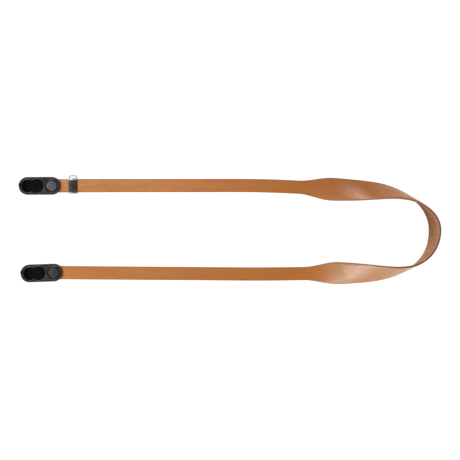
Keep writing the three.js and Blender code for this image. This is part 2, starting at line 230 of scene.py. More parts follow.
# Adds a node; inputs maps a socket to a value or to another node's output.
def addNode(tree, kind, inputs=None, **settings):
    made = tree.nodes.new(kind)
    for name, value in settings.items():
        setattr(made, name, value)
    for socket, value in (inputs or {}).items():
        if isinstance(value, bpy.types.NodeSocket):
            tree.links.new(value, made.inputs[socket])
        else:
            made.inputs[socket].default_value = value
    return made


def noise(tree, place, scale, detail, roughness):
    made = addNode(tree, "ShaderNodeTexNoise", {
        "Vector": place, "Scale": scale, "Detail": detail, "Roughness": roughness})
    return made.outputs["Fac"]


def spread(tree, value, fromMin, fromMax, toMin, toMax):
    made = addNode(tree, "ShaderNodeMapRange", {
        "Value": value, "From Min": fromMin, "From Max": fromMax,
        "To Min": toMin, "To Max": toMax}, interpolation_type="SMOOTHSTEP")
    return made.outputs["Result"]


def mixColour(tree, share, first, second):
    made = addNode(tree, "ShaderNodeMix", data_type="RGBA")
    for socket, value in (("Factor_Float", share), ("A_Color", first), ("B_Color", second)):
        target = next(s for s in made.inputs if s.identifier == socket)
        if isinstance(value, bpy.types.NodeSocket):
            tree.links.new(value, target)
        else:
            target.default_value = value
    return next(s for s in made.outputs if s.identifier == "Result_Color")


def maths(tree, operation, first, second=0.0, third=0.0):
    made = addNode(tree, "ShaderNodeMath", {0: first, 1: second, 2: third},
                   operation=operation)
    return made.outputs[0]


def bump(tree, height, distance, normal=None):
    inputs = {"Height": height, "Distance": distance, "Strength": 1.0}
    if normal is not None:
        inputs["Normal"] = normal
    return addNode(tree, "ShaderNodeBump", inputs).outputs["Normal"]


def objectPlace(tree, scale=(1, 1, 1)):
    place = addNode(tree, "ShaderNodeTexCoord").outputs["Object"]
    made = addNode(tree, "ShaderNodeMapping", {"Vector": place, "Scale": scale})
    return made.outputs["Vector"]


def floorMaterial():
    material, tree, shader = startMaterial("floorPaper")
    shader.inputs["Base Color"].default_value = (*studio["floorColour"], 1)
    shader.inputs["Roughness"].default_value = 0.9
    shader.inputs["Specular IOR Level"].default_value = 0.1
    shader.inputs["Emission Color"].default_value = (1, 1, 1, 1)
    shader.inputs["Emission Strength"].default_value = studio["floorGlow"]
    return material


leather = {
    "tanEnds": (0.550, 0.228, 0.066, 1),
    "tanShoulder": (0.390, 0.116, 0.008, 1),
    "deepeningUpper": (-0.03, 0.34),  # metres from an end over which the tan deepens
    "deepeningLower": (-0.32, 0.40),
    "tanPaintedSheen": (0.375, 0.205, 0.095, 1),  # a painted sheen on the lower shoulder, standing in for a broad highlight
    "paintedSheenStart": (0.275, 0.305),  # metres from the lower end
    "paintedSheenEasing": (0.350, 0.390),
    "paintedSheenEnd": (0.40, 0.43),
    "paintedSheenShares": (0.68, 0.5),  # how strong the painted sheen is, and how much of that is left where it ends
    "stain": (0.300, 0.095, 0.014, 1),
    "edgeBorder": (0.170, 0.060, 0.018, 1),  # the darker border of the grain side
    "edgeBorderReach": 1.3 * mm,
    "edgeBorderShare": 0.75,
    # The flesh side's upper colour is painted shade of the crossing strap, its lower colour
    # painted light.
    "fleshShadedUpper": (0.245, 0.076, 0.016, 1),
    "fleshLitLower": (0.490, 0.245, 0.125, 1),
    "fleshFade": (-0.034, 0.036),  # metres from the strap's middle, upper to lower
    "fleshDark": (0.120, 0.038, 0.012, 1),
    "paintedShadeReach": (-0.030, 0.014),  # metres from the middle over which the painted shade and light at the sides end
    "paintedShadeSide": (-3 * mm, 10 * mm, 0.85),  # across from, to, and share of fleshDark: a painted shadow of the crossing strap towards the outer edge
    "paintedLightSide": (-8 * mm, -2 * mm, 0.35),  # the same, with the lower flesh colour: painted light towards the inner edge
    "napDark": (0.38, 0.62, 0.6),
    "edgeTan": (0.300, 0.122, 0.042, 1),
    # The dark edge colour is partly edge paint and partly painted shade, where edges face away
    # from the light.
    "edgePaintAndShade": (0.110, 0.030, 0.006, 1),
    "edgeDarkUpper": (0.385, 0.410),  # metres from the upper end over which the dark edge colour starts
    "edgeDarkLower": (0.390, 0.330),  # metres from the lower end over which it ends
    "grainRoughness": (0.32, 0.43),
    "fleshRoughness": 0.9,
    "edgeRoughness": 0.9,
    "gloss": 0.6,
    "paintDepth": (0.4 * mm, 0.8 * mm),  # from mid thickness, over which the edge ends
    "sideChange": 0.2 * mm,  # from mid thickness, over which flesh gives way to grain
    "fineRelief": 0.035 * mm,
    "broadRelief": 0.9 * mm,
    "reliefShares": {"mottle": 1.2, "pits": 0.25, "creases": 0.2, "nap": 5.0},
}

# Noise patterns on the leather, as (scale, detail, roughness).
hidePatterns = {
    "broad": (26, 3, 0.6),
    "streaks": (480, 4, 0.65),
    "mottle": (330, 4, 0.6),
    "pits": (5200, 2, 0.5),
    "fibres": (1300, 5, 0.75),
    "patches": (300, 3, 0.6),
}
creaseScale = 1900.0
creaseWidth = 0.16
streakStretch = (0.07, 1, 1)
fibreStretch = (0.25, 1, 1)
fibreTurn = (0, 0, 0.7)

# pattern, its values from and to which the stain comes in, and the most of it
stainSteps = [
    ("broad", 0.35, 0.75, 0.16),
    ("streaks", 0.42, 0.74, 0.50),
    ("mottle", 0.44, 0.78, 0.28),
    ("creases", 1.0, 0.0, 0.18),
]


# The patterns of the hide's two sides, on the leather laid flat.
def hideMaps(tree, flat):
    glazed = addNode(tree, "ShaderNodeMapping", {"Vector": flat, "Scale": streakStretch})
    matted = addNode(tree, "ShaderNodeMapping", {
        "Vector": flat, "Rotation": fibreTurn, "Scale": fibreStretch})
    places = {"streaks": glazed.outputs["Vector"], "fibres": matted.outputs["Vector"]}
    maps = {name: noise(tree, places.get(name, flat), *settings)
            for name, settings in hidePatterns.items()}
    cells = addNode(tree, "ShaderNodeTexVoronoi", {"Vector": flat, "Scale": creaseScale},
                    feature="DISTANCE_TO_EDGE").outputs["Distance"]
    maps["creases"] = spread(tree, cells, 0.0, creaseWidth, 0.0, 1.0)
    maps["nap"] = maths(tree, "MULTIPLY_ADD", maps["fibres"], 0.6,
                        maths(tree, "MULTIPLY", maps["patches"], 0.4))
    return maps


# Tan that deepens from the ends to the shoulder, with a painted sheen on the lower shoulder,
# stained and glazed.
def grainColour(tree, maps, along, fromEdge):
    fromLower = maths(tree, "SUBTRACT", runEnd, along)
    deepened = maths(tree, "MINIMUM",
                     spread(tree, along, *leather["deepeningUpper"], 0.0, 1.0),
                     spread(tree, fromLower, *leather["deepeningLower"], 0.0, 1.0))
    tone = mixColour(tree, deepened, leather["tanEnds"], leather["tanShoulder"])
    # A paler tan over the lower shoulder: a painted sheen.
    most, left = leather["paintedSheenShares"]
    paintedSheen = maths(tree, "MULTIPLY", spread(tree, fromLower, *leather["paintedSheenStart"], 0.0, most),
                 spread(tree, fromLower, *leather["paintedSheenEasing"], 1.0, left))
    paintedSheen = maths(tree, "MULTIPLY", paintedSheen, spread(tree, fromLower, *leather["paintedSheenEnd"], 1.0, 0.0))
    tone = mixColour(tree, paintedSheen, tone, leather["tanPaintedSheen"])
    for name, start, end, share in stainSteps:
        stained = spread(tree, maps[name], start, end, 0.0, share)
        tone = mixColour(tree, stained, tone, leather["stain"])
    border = spread(tree, fromEdge, 0.0, leather["edgeBorderReach"], leather["edgeBorderShare"], 0.0)
    return mixColour(tree, border, tone, leather["edgeBorder"])


# Matted fibres, red-brown in the upper half of the bend and lighter in the lower: painted shade
# under the crossing strap and painted light below it, with a painted shadow by the outer edge and
# painted light by the inner edge in the upper half.
def fleshColour(tree, maps, along, across):
    fadeStart, fadeEnd = (runEnd / 2 + place for place in leather["fleshFade"])
    tone = mixColour(tree, spread(tree, along, fadeStart, fadeEnd, 0.0, 1.0),
                     leather["fleshShadedUpper"], leather["fleshLitLower"])
    paintedShadeStart, paintedShadeEnd = (runEnd / 2 + place for place in leather["paintedShadeReach"])
    paintedShadeReach = spread(tree, along, paintedShadeStart, paintedShadeEnd, 1.0, 0.0)
    # Painted shadow towards the outer edge and painted light towards the inner edge, in the upper
    # half only.
    start, end, share = leather["paintedShadeSide"]
    sideShade = maths(tree, "MULTIPLY", spread(tree, across, start, end, 0.0, share), paintedShadeReach)
    start, end, share = leather["paintedLightSide"]
    rubbedAndPaintedLight = maths(tree, "MULTIPLY", spread(tree, across, start, end, share, 0.0), paintedShadeReach)
    tone = mixColour(tree, sideShade, tone, leather["fleshDark"])
    tone = mixColour(tree, rubbedAndPaintedLight, tone, leather["fleshLitLower"])
    start, end, share = leather["napDark"]
    shaded = spread(tree, maps["nap"], start, end, share, 0.0)
    return mixColour(tree, shaded, tone, leather["fleshDark"])


# Tan edges that turn dark round the bend: partly edge paint, partly painted shade.
def edgeColour(tree, along):
    lowerFrom, lowerTo = (runEnd - place for place in leather["edgeDarkLower"])
    darkened = maths(tree, "MULTIPLY",
                    spread(tree, along, *leather["edgeDarkUpper"], 0.0, 1.0),
                    spread(tree, along, lowerFrom, lowerTo, 1.0, 0.0))
    return mixColour(tree, darkened, leather["edgeTan"], leather["edgePaintAndShade"])


def mixValue(tree, share, first, second):
    return addNode(tree, "ShaderNodeMix", {0: share, 2: first, 3: second}).outputs[0]


def leatherMaterial():
    material, tree, shader = startMaterial("tanLeather")
    flat = addNode(tree, "ShaderNodeAttribute", attribute_name="flat").outputs["Vector"]
    fromEdge = addNode(tree, "ShaderNodeAttribute", attribute_name="fromEdge").outputs["Fac"]
    parted = addNode(tree, "ShaderNodeSeparateXYZ", {"Vector": flat})
    along, across, depth = (parted.outputs[axis] for axis in "XYZ")
    steep = maths(tree, "ABSOLUTE", depth)
    onEdge = spread(tree, steep, *leather["paintDepth"], 1.0, 0.0)
    onFlesh = spread(tree, depth, -leather["sideChange"], leather["sideChange"], 1.0, 0.0)
    maps = hideMaps(tree, flat)

    colour = mixColour(tree, onFlesh, grainColour(tree, maps, along, fromEdge),
                       fleshColour(tree, maps, along, across))
    colour = mixColour(tree, onEdge, colour, edgeColour(tree, along))
    tree.links.new(colour, shader.inputs["Base Color"])

    fine = maths(tree, "ADD", maps["mottle"], maths(tree, "MULTIPLY", maps["pits"], 0.4))
    rough = spread(tree, fine, 0.5, 0.9, *leather["grainRoughness"])
    rough = mixValue(tree, onFlesh, rough, leather["fleshRoughness"])
    rough = mixValue(tree, onEdge, rough, leather["edgeRoughness"])
    tree.links.new(rough, shader.inputs["Roughness"])

    shares = leather["reliefShares"]
    grainHeight = maths(tree, "MULTIPLY", maps["pits"], shares["pits"])
    for name in ("mottle", "creases"):
        grainHeight = maths(tree, "MULTIPLY_ADD", maps[name], shares[name], grainHeight)
    fleshHeight = maths(tree, "MULTIPLY", maps["nap"], shares["nap"])
    height = mixValue(tree, onFlesh, grainHeight, fleshHeight)
    normal = bump(tree, height, leather["fineRelief"])
    normal = bump(tree, maps["broad"], leather["broadRelief"], normal)
    tree.links.new(normal, shader.inputs["Normal"])
    shader.inputs["Specular IOR Level"].default_value = leather["gloss"]
    return material


# name, base colour, rubbed colour, roughness, specular
nylonFinishes = [
    ("blackNylon", (0.007, 0.007, 0.008, 1), (0.015, 0.015, 0.016, 1), (0.42, 0.58), 0.37),
    # The pocket's finish, darker and duller than the face: painted shade.
    ("pocketShadeNylon", (0.003, 0.003, 0.003, 1), (0.006, 0.006, 0.006, 1), (0.70, 0.85), 0.12),
    # The sloped lips' finish: lighter than the face, a painted highlight, and less rough.
    ("lipHighlightNylon", (0.022, 0.022, 0.024, 1), (0.036, 0.036, 0.038, 1), (0.30, 0.42), 0.5),
]
onFace, inPocket, onLip = 0, 1, 2  # places in nylonFinishes
nylonPatterns = {"spark": (3600, 3, 0.6), "cloud": (120, 3, 0.6)}
nylonRelief = 0.03 * mm


# Moulded nylon: the fine spark texture of its mould, rubbed in soft clouds.
def plasticMaterial(name, base, rubbedAndPaintedLight, roughness, specular):
    material, tree, shader = startMaterial(name)
    place = objectPlace(tree)
    spark = noise(tree, place, *nylonPatterns["spark"])
    cloud = noise(tree, place, *nylonPatterns["cloud"])
    colour = mixColour(tree, spread(tree, cloud, 0.35, 0.7, 0.0, 0.7), base, rubbedAndPaintedLight)
    tree.links.new(colour, shader.inputs["Base Color"])
    uneven = maths(tree, "ADD", maths(tree, "MULTIPLY", cloud, 0.6), spark)
    rough = spread(tree, uneven, 0.5, 1.1, *roughness)
    tree.links.new(rough, shader.inputs["Roughness"])
    tree.links.new(bump(tree, spark, nylonRelief), shader.inputs["Normal"])
    shader.inputs["Specular IOR Level"].default_value = specular
    return material


metalPatterns = {
    "brushed": (2400, 4, 0.65),
    "blasted": (5200, 4, 0.65),
    "cloud": (260, 3, 0.6),
}


# A metal with an even fine blast, or brushed: then brushing is the stretch of the strokes
# along x. The last argument gives the y from which and to which the colour turns lighter,
# and that lighter colour: a painted highlight where the keeper plate uses it.
def satinMetal(name, base, worn, roughness, metallic, relief, brushing=None, rubbedAndPaintedLight=None):
    material, tree, shader = startMaterial(name)
    place = objectPlace(tree, (brushing or 1, 1, 1))
    fine = noise(tree, place, *metalPatterns["brushed" if brushing else "blasted"])
    cloud = noise(tree, objectPlace(tree), *metalPatterns["cloud"])
    colour = mixColour(tree, spread(tree, cloud, 0.35, 0.72, 0.0, 1.0), base, worn)
    # A lighter band: a painted highlight where the keeper plate uses it.
    if rubbedAndPaintedLight:
        start, end, lighterColour = rubbedAndPaintedLight
        y = addNode(tree, "ShaderNodeSeparateXYZ", {"Vector": objectPlace(tree)}).outputs["Y"]
        colour = mixColour(tree, spread(tree, y, start, end, 0.0, 1.0), colour, lighterColour)
    tree.links.new(colour, shader.inputs["Base Color"])
    uneven = maths(tree, "ADD", fine, maths(tree, "MULTIPLY", cloud, 0.5))
    rough = spread(tree, uneven, 0.45, 1.0, roughness - 0.06, roughness + 0.08)
    tree.links.new(rough, shader.inputs["Roughness"])
    tree.links.new(bump(tree, fine, relief), shader.inputs["Normal"])
    shader.inputs["Metallic"].default_value = metallic
    return material


strap = {
    "reach": 405.9 * mm,
    "legSpacing": 92.1 * mm,
    "legWidth": 14.2 * mm,
    "shoulderWidth": 25 * mm,
    "thickness": 2 * mm,
    "edgeRadius": 0.6 * mm,
    "arch": 0.9 * mm,  # how far the middle of the shoulder bulges to its grain side
    "tail": 6 * mm,  # leather past the rivet, inside the connector
    "slotCentre": 4.6 * mm,  # height of the leather in the connector
    "straightEnd": 9.75 * mm,  # from the rivet to where the leg starts to sink
    "settleLength": 74 * mm,
    "upperTaper": (0.645, 0.735),  # shares of reach
    "lowerTaper": (0.66, 0.75),
    "holeRadius": 2.4 * mm,
    "punchLength": 8 * mm,
    "step": 1.4 * mm,
    "ringSegments": 24,
    "cutsAcross": 11,
    "cutsInSides": 2,
}

# The lie of the strap: share of reach along, share of leg spacing across, share of the
# shoulder's width that the lower edge stands off the floor, and tilt in degrees.
strapLie = [
    (0.000, 0.000, 0, 0),
    (0.200, -0.003, 0, 0),
    (0.420, -0.004, 0, 0),
    (0.520, -0.003, 0, 0),
    (0.600, 0.006, 0, 1),
    (0.670, 0.022, 0, 5),
    (0.740, 0.041, 0.01, 15),
    (0.800, 0.053, 0.06, 30),
    (0.860, 0.068, 0.12, 49),
    (0.910, 0.105, 0.12, 70),
    (0.950, 0.175, 0.07, 86),
    (0.981, 0.290, 0.02, 100),
    (0.998, 0.430, 0, 111),
    (0.999, 0.590, 0, 112),
    (0.986, 0.755, 0.01, 105),
    (0.955, 0.895, 0.04, 92),
    (0.910, 0.972, 0.07, 74),
    (0.855, 1.002, 0.09, 52),
    (0.795, 1.006, 0.06, 33),
    (0.740, 1.007, 0.03, 18),
    (0.680, 1.011, 0.01, 6),
    (0.610, 1.016, 0, 1),
    (0.530, 1.018, 0, 0),
    (0.420, 1.015, 0, 0),
    (0.210, 1.008, 0, 0),
    (0.005, 1.000, 0, 0),
]


# A curve through the values with an even bend, straight past its ends.
def smoothCurve(knots, values):
    count = len(knots)
    spans = np.diff(knots)
    slopes = np.diff(values) / spans
    grid = np.eye(count)
    turns = np.zeros(count)
    for i in range(1, count - 1):
        grid[i, i - 1:i + 2] = spans[i - 1], 2 * (spans[i - 1] + spans[i]), spans[i]
        turns[i] = 6 * (slopes[i] - slopes[i - 1])
    bend = np.linalg.solve(grid, turns)

    def inside(at):
        i = int(np.clip(np.searchsorted(knots, at) - 1, 0, count - 2))
        b = (at - knots[i]) / spans[i]
        a = 1 - b
        arch = (a ** 3 - a) * bend[i] + (b ** 3 - b) * bend[i + 1]
        return a * values[i] + b * values[i + 1] + arch * spans[i] ** 2 / 6

    def whole(at):
        near = min(max(at, knots[0]), knots[-1])
        if near == at:
            return inside(at)
        nudge = -0.5 * mm if at > near else 0.5 * mm
        return inside(near) + (inside(near + nudge) - inside(near)) / nudge * (at - near)
    return whole


def ease(value, start, end):
    share = min(max((value - start) / (end - start), 0), 1)
    return share * share * (3 - 2 * share)


upperRivet = boxCentre("cap_upper")
lowerRivet = boxCentre("cap_lower")
lieX = [upperRivet.x + row[0] * strap["reach"] for row in strapLie]
lieY = [upperRivet.y - row[1] * strap["legSpacing"] for row in strapLie]
knots = np.concatenate([[0], np.cumsum(np.hypot(np.diff(lieX), np.diff(lieY)))])
runEnd = float(knots[-1])
routeX = smoothCurve(knots, lieX)
routeY = smoothCurve(knots, lieY)
routeLift = smoothCurve(knots, [row[2] * strap["shoulderWidth"] for row in strapLie])
routeTilt = smoothCurve(knots, [math.radians(row[3]) for row in strapLie])


def strapWidth(run):
    share = (routeX(run) - upperRivet.x) / strap["reach"]
    start, end = strap["upperTaper"] if run < runEnd / 2 else strap["lowerTaper"]
    extra = strap["shoulderWidth"] - strap["legWidth"]
    return strap["legWidth"] + extra * ease(share, start, end)


def strapCentre(run):
    tilt = max(routeTilt(run), 0)
    fromRivet = min(abs(run), abs(runEnd - run))
    settled = ease(fromRivet, strap["straightEnd"], strap["straightEnd"] + strap["settleLength"])
    half = strap["thickness"] / 2
    soft = strap["edgeRadius"]
    height = max(routeLift(run), 0) + soft
    height += (strapWidth(run) / 2 - soft) * math.sin(tilt)
    height += (half - soft) * abs(math.cos(tilt))
    height += (strap["slotCentre"] - half) * (1 - settled)
    return Vector((routeX(run), routeY(run), height))


# The matrix of a section: x along the strap, y to its outer edge, z out of the grain.
def strapPlace(run):
    nudge = 0.25 * mm
    forward = (strapCentre(run + nudge) - strapCentre(run - nudge)).normalized()
    outward = Vector((-forward.y, forward.x, 0)).normalized()
    upward = forward.cross(outward)
    tilt = max(routeTilt(run), 0)
    across = outward * math.cos(tilt) - upward * math.sin(tilt)
    grain = upward * math.cos(tilt) + outward * math.sin(tilt)
    place = Matrix((forward, across, grain)).transposed().to_4x4()
    place.translation = strapCentre(run)
    return place


# The first ring, with its place across held in layers that each extrusion copies.
def strapSection(bm, share, corner, depth):
    soft = strap["edgeRadius"]
    flank = strap["thickness"] / 2 - soft
    segments = strap["ringSegments"]
    halfStep = Matrix.Rotation(math.pi / segments, 4, "Z")
    made = bmesh.ops.create_circle(bm, segments=segments, radius=soft, matrix=halfStep)
    for vert in made["verts"]:
        vert[share] = 1 if vert.co.x > 0 else -1
        vert[corner] = vert.co.x
        vert[depth] = vert.co.y + (flank if vert.co.y > 0 else -flank)
    flats = [e for e in bm.edges if e.verts[0][share] != e.verts[1][share]]
    bmesh.ops.subdivide_edges(bm, edges=flats, cuts=strap["cutsAcross"])
    sides = [e for e in bm.edges if e.verts[0][depth] * e.verts[1][depth] < 0]
    bmesh.ops.subdivide_edges(bm, edges=sides, cuts=strap["cutsInSides"])
    return list(bm.verts), list(bm.edges)


def placeSection(verts, layers, run):
    share, corner, depth, flat, fromEdge = layers
    place = strapPlace(run)
    width = strapWidth(run)
    reachAcross = width / 2 - strap["edgeRadius"]
    widening = (width - strap["legWidth"]) / (strap["shoulderWidth"] - strap["legWidth"])
    for vert in verts:
        across = vert[share] * reachAcross + vert[corner]
        bulge = strap["arch"] * widening * (1 - (2 * across / width) ** 2)
        vert.co = place @ Vector((0, across, vert[depth] + bulge))
        vert[flat] = Vector((run, across, vert[depth]))
        vert[fromEdge] = width / 2 - abs(across)


def makeStrap():
    bm = bmesh.new()
    numbers = bm.verts.layers.float
    names = ("share", "corner", "depth", "fromEdge")
    for name in names:
        numbers.new(name)
    flat = bm.verts.layers.float_vector.new("flat")
    share, corner, depth, fromEdge = (numbers[name] for name in names)
    layers = (share, corner, depth, flat, fromEdge)
    verts, edges = strapSection(bm, share, corner, depth)
    length = runEnd + 2 * strap["tail"]
    steps = round(length / strap["step"])
    placeSection(verts, layers, -strap["tail"])
    for i in range(1, steps + 1):
        made = bmesh.ops.extrude_edge_only(bm, edges=edges)["geom"]
        verts = [g for g in made if isinstance(g, bmesh.types.BMVert)]
        fresh = set(verts)
        edges = [g for g in made if isinstance(g, bmesh.types.BMEdge)
                 and g.verts[0] in fresh and g.verts[1] in fresh]
        placeSection(verts, layers, -strap["tail"] + length * i / steps)
    closeRings(bm)
    piece = pieceFrom(bm, "leatherStrap")
    for name in names[:3]:
        piece.data.attributes.remove(piece.data.attributes[name])
    punches = []
    for name, middle in (("upperPunch", upperRivet), ("lowerPunch", lowerRivet)):
        punch = bmesh.new()
        bmesh.ops.create_cone(punch, cap_ends=True, segments=48, radius1=strap["holeRadius"],
                              radius2=strap["holeRadius"], depth=strap["punchLength"])
        spot = Matrix.Translation((middle.x, middle.y, strap["slotCentre"]))
        punches.append(pieceFrom(punch, name, spot))
    cutAway(piece, punches)
    shadeByAngle(piece, 50)
    piece.data.materials.clear()
    piece.data.materials.append(leatherMaterial())
    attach(piece, "root")
    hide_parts("strap")
    print("strap made:", len(piece.data.polygons), "faces")


housing = {
    "radius": 9.45 * mm,
    "straight": 25.65 * mm,
    "height": 9.6 * mm,
    "rimRadius": 1.1 * mm,
    "footRadius": 0.6 * mm,
    "noseInset": 2.1 * mm,  # how far the strap end's top leans in
    "noseDrop": 3 * mm,
    "pocketFloor": 3.6 * mm,
    "trackRoof": 8 * mm,
    "entryRadius": 7.35 * mm,
    "entryX": -15.9 * mm,  # from the rivet to the wide end's middle
    "lockRadius": 6.85 * mm,
    "lockX": -25 * mm,  # to the narrow end's middle
    "mouthSlope": (0.6 * mm, 0.4 * mm),  # width and depth of the sloped lip
    "trackExtra": 0.06 * mm,
    "floorFillet": 0.5 * mm,
    "capSeat": 8 * mm,
    "recessRadius": 6.5 * mm,
    "recessSlope": (0.6 * mm, 0.35 * mm),
    "boreRadius": 2.35 * mm,
    "boreFloor": 1.2 * mm,
    "slotLow": 3.25 * mm,
    "slotHigh": 5.95 * mm,
    "slotWidth": 15.6 * mm,
    "slotEnd": -7.2 * mm,
    "slotRounding": 0.5 * mm,
    "notchWidth": 3.4 * mm,
    "notchDepth": 2.6 * mm,
    "notchY": 1.5 * mm,
    "notchRounding": 0.8 * mm,
    "slitWidth": 1.4 * mm,
    "slitRounding": 0.2 * mm,
    "slitReach": 3.5 * mm,  # from the middle of the narrow end to where it stops
    "passageInset": 0.1 * mm,  # on each side, within the notch
    "passageRounding": 0.6 * mm,
    "sillReach": 0.7 * mm,  # how far the floor stands out of the notch
    "sillRoot": 3 * mm,
    "sillLow": 1.4 * mm,
    "sillDrop": 0.2 * mm,  # below the pocket's floor
    "sillRounding": 0.9 * mm,
    "lowerTurn": 2.6,  # degrees
}
past = 1 * mm  # how far a cut runs past the face that it opens


def roundInset(distance, radius):
    share = min(max(1 - distance / radius, 0), 1)
    return radius * (1 - math.sqrt(1 - share * share))


# Height, end radius and nose length of the outline at a height.
def housingLevel(height):
    fromTop = housing["height"] - height
    inset = roundInset(fromTop, housing["rimRadius"]) + roundInset(height, housing["footRadius"])
    share = roundInset(fromTop, housing["noseDrop"]) / housing["noseDrop"]
    nose = share * (housing["noseInset"] - housing["rimRadius"])
    return height, housing["radius"] - inset, housing["radius"] - inset - nose


def housingBody():
    top, rim, foot = housing["height"], housing["rimRadius"], housing["footRadius"]
    arc = [math.sin(math.radians(10 * i)) for i in range(10)]
    heights = [foot * (1 - math.cos(math.radians(10 * i))) for i in range(10)]
    noseFoot = top - housing["noseDrop"]
    heights += [noseFoot + (top - rim - noseFoot) * i / 6 for i in range(6)]
    heights += [top - rim + rim * share for share in arc]
    levels = [housingLevel(height) for height in heights]
    bm = bmesh.new()
    raisePill(bm, housing["straight"], levels)
    return bm


# A round opening down through the top face. Its lip slopes, with both corners softened.
def mouthCutter(name, x, radius, low, slope=(0, 0), wall=onFace):
    top = housing["height"]
    profile = [(0, low), (radius, low)]
    if slope[0]:
        wide, deep = slope
        profile += [(radius, top - 1.5 * deep), (radius + 0.05 * wide, top - 1.15 * deep)]
        profile += [(radius + 0.2 * wide, top - 0.85 * deep)]
        profile += [(radius + 0.8 * wide, top - 0.15 * deep), (radius + wide, top)]
    profile += [(radius + slope[0], top + past), (0, top + past)]
    bm = bmesh.new()
    spinProfile(bm, profile, x=x)
    for face in bm.faces:
        # Sloped faces take the lip's lighter finish, a painted highlight.
        face.material_index = onLip if 0.3 < abs(face.normal.z) < 0.99 else wall
    return pieceFrom(bm, name)


# The space under the lip in which an anchor slides, with a filleted floor.
def trackCutter():
    radius = housing["entryRadius"] + housing["trackExtra"]
    fillet = housing["floorFillet"]
    low = housing["pocketFloor"]
    straight = housing["entryX"] - housing["lockX"]
    levels = []
    for i in range(7):
        angle = math.radians(15 * i)
        inner = radius - fillet * (1 - math.sin(angle))
        levels.append((low + fillet * (1 - math.cos(angle)), inner, inner))
    levels.append((housing["trackRoof"], radius, radius))
    bm = bmesh.new()
    raisePill(bm, straight, levels)
    bmesh.ops.translate(bm, vec=(housing["entryX"], 0, 0), verts=bm.verts)
    # The pocket's darker finish: painted shade.
    for face in bm.faces:
        face.material_index = inPocket
    return pieceFrom(bm, "trackCutter")


# A block between two corners, its edges along one axis rounded.
def roundedBlock(name, low, high, rounding, axis, finish):
    low, high = Vector(low), Vector(high)
    bm = bmesh.new()
    bmesh.ops.create_cube(bm, size=1)
    bmesh.ops.scale(bm, vec=high - low, verts=bm.verts)
    bmesh.ops.translate(bm, vec=(low + high) / 2, verts=bm.verts)
    run = [e for e in bm.edges if abs((e.verts[0].co - e.verts[1].co).normalized()[axis]) > 0.9]
    bmesh.ops.bevel(bm, geom=run, offset=rounding, segments=6, profile=0.5,
                    affect="EDGES", material=-1)
    for face in bm.faces:
        face.material_index = finish
    return pieceFrom(bm, name)


# A block in the notch's line, inset from its sides.
def inNotch(name, startX, endX, low, high, rounding, axis, inset=0.0):
    half = housing["notchWidth"] / 2 - inset
    y = housing["notchY"]
    return roundedBlock(name, (startX, y - half, low), (endX, y + half, high),
                        rounding, axis, inPocket)


def housingCutters():
    tip = -(housing["straight"] + housing["radius"])
    floor, roof, top = housing["pocketFloor"], housing["trackRoof"], housing["height"]
    middle = (floor + roof) / 2
    slope, inset = housing["mouthSlope"], housing["passageInset"]
    half = housing["notchWidth"] / 2
    slitLow = housing["notchY"] - half
    lockSide = housing["lockX"] - housing["slitReach"]
    notchEnd = tip + housing["notchDepth"]
    sideways = housing["slotWidth"] / 2
    # Faces marked inPocket take the pocket's darker finish, painted shade.
    return [
        trackCutter(),
        mouthCutter("entryCutter", housing["entryX"], housing["entryRadius"],
                    middle, slope, inPocket),
        mouthCutter("lockCutter", housing["lockX"], housing["lockRadius"],
                    middle, slope, inPocket),
        mouthCutter("recessCutter", 0, housing["recessRadius"],
                    housing["capSeat"], housing["recessSlope"], inPocket),
        mouthCutter("boreCutter", 0, housing["boreRadius"], housing["boreFloor"]),
        roundedBlock("slotCutter", (housing["slotEnd"], -sideways, housing["slotLow"]),
                     (housing["radius"] + past, sideways, housing["slotHigh"]),
                     housing["slotRounding"], 0, onFace),
        inNotch("notchCutter", tip - 2 * past, notchEnd, floor, top + past,
                housing["notchRounding"], 2),
        roundedBlock("slitCutter", (notchEnd - half, slitLow, floor),
                     (lockSide, slitLow + housing["slitWidth"], top + past),
                     housing["slitRounding"], 2, inPocket),
        inNotch("passageCutter", tip - past, lockSide, floor + 0.02 * mm, roof,
                housing["passageRounding"], 0, inset),
    ]


# The end of the pocket's floor, which shows as a dark lip outside the notch: it takes the
# pocket's darker finish, painted shade.
def notchSill():
    tip = -(housing["straight"] + housing["radius"])
    return inNotch("notchSill", tip - housing["sillReach"], tip + housing["sillRoot"],
                   housing["sillLow"], housing["pocketFloor"] - housing["sillDrop"],
                   housing["sillRounding"], 2, housing["passageInset"])


def connectorPlace(rivet, run, outward, turn):
    forward = strapPlace(run).col[0]
    heading = math.atan2(outward * forward.y, outward * forward.x)
    spot = Matrix.Translation((rivet.x, rivet.y, 0))
    return spot @ Matrix.Rotation(heading + math.radians(turn), 4, "Z")


rivet = {
    "capRadius": 5.6 * mm,
    "capFoot": 8.3 * mm,
    "capTop": 9.55 * mm,
    "crown": 0.4 * mm,
    "edge": 0.6 * mm,
    "postRadius": 2 * mm,
    "postFoot": 1.5 * mm,
    "domeSteps": 14,
    "relief": 0.02 * mm,
}

# name, base colour, worn colour, roughness, metallic
capFinishes = {
    # One finish in two copies, the upper cap lighter and the lower darker: painted light and
    # shade of what each reflects.
    "upper": ("capGreyLit", (0.066, 0.065, 0.073, 1), (0.088, 0.084, 0.096, 1), 0.42, 0.35),
    "lower": ("capGreyShaded", (0.024, 0.024, 0.025, 1), (0.034, 0.034, 0.035, 1), 0.45, 0.35),
}


